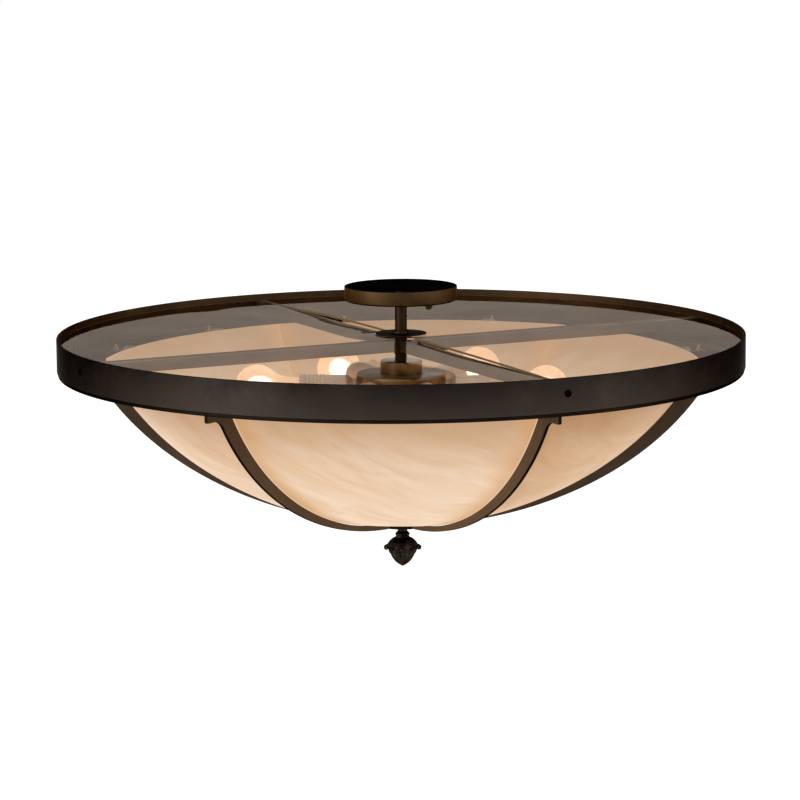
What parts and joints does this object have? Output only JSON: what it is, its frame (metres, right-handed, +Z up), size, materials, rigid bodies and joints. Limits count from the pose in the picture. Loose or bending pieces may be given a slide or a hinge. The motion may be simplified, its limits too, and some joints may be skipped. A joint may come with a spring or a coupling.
{
  "type": "bowl ceiling light",
  "caption": "Semi-flush bowl ceiling light: curved translucent panels between plate ribs under a wide metal ring, with a clear dust cover, a lamp cluster and an acorn finial.",
  "frame": {"origin": "centre of the circle of the two ceiling box screw holes, on the ceiling plane at the top of the mounting strap", "axes": "+Z up to the ceiling, +X and +Y along the cross bars"},
  "size_m": [0.9188, 0.9188, 0.3799],
  "materials": {
    "bronze": "satin",
    "finial_bronze": "satin",
    "antique_brass": "satin",
    "zinc": "satin",
    "lamp_metal": "satin",
    "alabaster": "satin",
    "socket_ivory": "satin",
    "frosted": "frosted",
    "clear": "gloss"
  },
  "bodies": {
    "frame": {"ring_band": "bronze", "seat_plate": "bronze", "rib_1": "bronze", "rib_2": "bronze", "rib_3": "bronze", "rib_4": "bronze", "rib_5": "bronze", "rib_6": "bronze", "rib_screws": "zinc", "cross_bar_1": "bronze", "cross_bar_2": "bronze", "cross_bar_3": "bronze", "cross_bar_4": "bronze", "bar_screws": "bronze", "panel_1": "alabaster", "panel_2": "alabaster", "panel_3": "alabaster", "panel_4": "alabaster", "panel_5": "alabaster", "panel_6": "alabaster", "panel_clips": "bronze", "clip_screws": "zinc", "stem": "bronze", "threaded_pipe": "zinc", "pipe_nuts": "zinc", "mounting_strap": "zinc", "canopy_studs": "zinc", "cluster_cap": "antique_brass", "cluster_body": "antique_brass", "cluster_lid": "antique_brass", "socket_1": "socket_ivory", "socket_2": "socket_ivory", "socket_3": "socket_ivory", "socket_4": "socket_ivory", "socket_5": "socket_ivory", "socket_6": "socket_ivory", "bottom_plate": "bronze", "clamp_disc": "zinc", "finial_stud": "zinc", "finial_nut": "zinc"},
    "cover": {"cover_left": "clear", "cover_right": "clear", "cover_washer": "bronze"},
    "canopy": {"canopy": "bronze"},
    "canopy_nut_1": {"canopy_nut_1": "bronze"},
    "canopy_nut_2": {"canopy_nut_2": "bronze"},
    "lamp_1": {"lamp_globe_1": "frosted", "lamp_base_1": "lamp_metal"},
    "lamp_2": {"lamp_globe_2": "frosted", "lamp_base_2": "lamp_metal"},
    "lamp_3": {"lamp_globe_3": "frosted", "lamp_base_3": "lamp_metal"},
    "lamp_4": {"lamp_globe_4": "frosted", "lamp_base_4": "lamp_metal"},
    "lamp_5": {"lamp_globe_5": "frosted", "lamp_base_5": "lamp_metal"},
    "lamp_6": {"lamp_globe_6": "frosted", "lamp_base_6": "lamp_metal"},
    "finial": {"finial": "finial_bronze", "finial_neck": "finial_bronze"}
  },
  "joints": [
    {"name": "cover_lift", "type": "slide", "parent": "frame", "child": "cover", "axis": [0, 0, 1], "range_m": [0, 0.018]},
    {"name": "canopy_drop", "type": "slide", "parent": "frame", "child": "canopy", "axis": [0, 0, -1], "range_m": [0, 0.015]},
    {"name": "canopy_nut_1_turn", "type": "hinge", "parent": "canopy", "child": "canopy_nut_1", "pos_m": [0.02223, -0.0385, -0.0244], "axis": [0, 0, 1], "continuous": true},
    {"name": "canopy_nut_2_turn", "type": "hinge", "parent": "canopy", "child": "canopy_nut_2", "pos_m": [-0.02223, 0.0385, -0.0244], "axis": [0, 0, 1], "continuous": true},
    {"name": "lamp_1_turn", "type": "hinge", "parent": "frame", "child": "lamp_1", "pos_m": [0, -0.15, -0.1391], "axis": [0, -1, 0], "continuous": true},
    {"name": "lamp_2_turn", "type": "hinge", "parent": "frame", "child": "lamp_2", "pos_m": [0.1299, -0.075, -0.1391], "axis": [0.866, -0.5, 0], "continuous": true},
    {"name": "lamp_3_turn", "type": "hinge", "parent": "frame", "child": "lamp_3", "pos_m": [0.1299, 0.075, -0.1391], "axis": [0.866, 0.5, 0], "continuous": true},
    {"name": "lamp_4_turn", "type": "hinge", "parent": "frame", "child": "lamp_4", "pos_m": [0, 0.15, -0.1391], "axis": [0, 1, 0], "continuous": true},
    {"name": "lamp_5_turn", "type": "hinge", "parent": "frame", "child": "lamp_5", "pos_m": [-0.1299, 0.075, -0.1391], "axis": [-0.866, 0.5, 0], "continuous": true},
    {"name": "lamp_6_turn", "type": "hinge", "parent": "frame", "child": "lamp_6", "pos_m": [-0.1299, -0.075, -0.1391], "axis": [-0.866, -0.5, 0], "continuous": true},
    {"name": "finial_turn", "type": "hinge", "parent": "frame", "child": "finial", "pos_m": [0, 0, -0.345], "axis": [0, 0, 1], "continuous": true}
  ]
}
